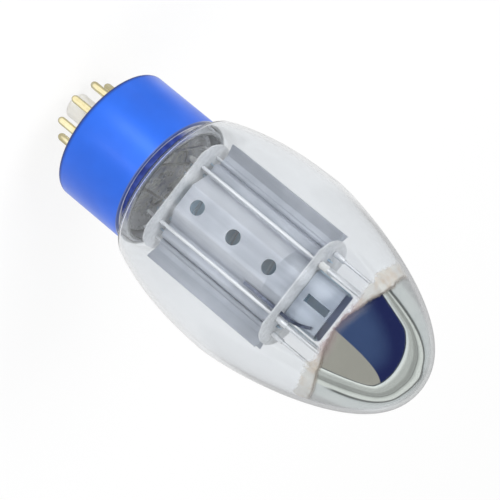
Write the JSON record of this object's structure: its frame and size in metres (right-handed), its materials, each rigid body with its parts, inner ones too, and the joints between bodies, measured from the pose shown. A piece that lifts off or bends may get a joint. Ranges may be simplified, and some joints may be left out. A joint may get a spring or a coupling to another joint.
{
  "type": "vacuum tube",
  "caption": "Beam power vacuum tube: egg-shaped clear glass bulb with a pressed grey anode, mica spacers and a silvered dome, on a blue metal-shelled octal plug base.",
  "frame": {"origin": "centre of the base's seating plane, on the tube's axis; the contact pins and the key spigot reach below it", "axes": "+Z along the tube's axis towards the dome; the flat side of the anode faces -Y, and its fins lie along X"},
  "size_m": [0.0542, 0.0542, 0.1221],
  "materials": {
    "bulb_glass": "clear blown glass",
    "stem_glass": "pressed lead glass, smoky",
    "blue_shell": "blue anodised, satin",
    "white_insulator": "smooth white",
    "gold_pin": "gold plated, bright",
    "cement": "matt brown cement",
    "mica": "split mica sheet, translucent",
    "anode_sheet": "grey coated nickel-iron sheet",
    "nickel": "bright nickel wire",
    "dark_nickel": "dark nickel sheet",
    "oxide": "white oxide coating",
    "copper": "copper wire",
    "molybdenum": "drawn molybdenum wire"
  },
  "bodies": {
    "root": {"base_shell": "blue_shell", "base_insulator": "white_insulator", "pin_1": "gold_pin", "pin_2": "gold_pin", "pin_3": "gold_pin", "pin_4": "gold_pin", "pin_5": "gold_pin", "pin_6": "gold_pin", "pin_7": "gold_pin", "pin_8": "gold_pin", "glass_bulb": "bulb_glass", "base_cement": "cement", "glass_stem": "stem_glass", "lower_mica": "mica", "upper_mica": "mica", "anode_front": "anode_sheet", "anode_back": "anode_sheet", "anode_rod_left": "nickel", "anode_rod_right": "nickel", "cage_rod_front_left": "nickel", "cage_rod_front_right": "nickel", "cage_rod_back_left": "nickel", "cage_rod_back_right": "nickel", "anode_sleeve_left": "nickel", "anode_sleeve_right": "nickel", "rod_bead_upper": "white_insulator", "rod_bead_lower": "white_insulator", "rod_sleeve_right": "nickel", "cathode_sleeve": "oxide", "heater": "oxide", "control_grid": "copper", "screen_grid": "molybdenum", "beam_plate_left": "nickel", "beam_plate_right": "nickel", "cooling_fin_front": "dark_nickel", "cooling_fin_back": "dark_nickel", "fin_lead": "dark_nickel", "getter_bridge_left": "nickel", "getter_bridge_right": "nickel", "getter_ring_left": "nickel", "getter_ring_right": "nickel", "lead_2_heater": "copper", "lead_3_anode": "copper", "lead_4_screen_grid": "copper", "lead_5_control_grid": "copper", "lead_7_heater": "copper", "lead_8_cathode": "copper"}
  },
  "joints": []
}
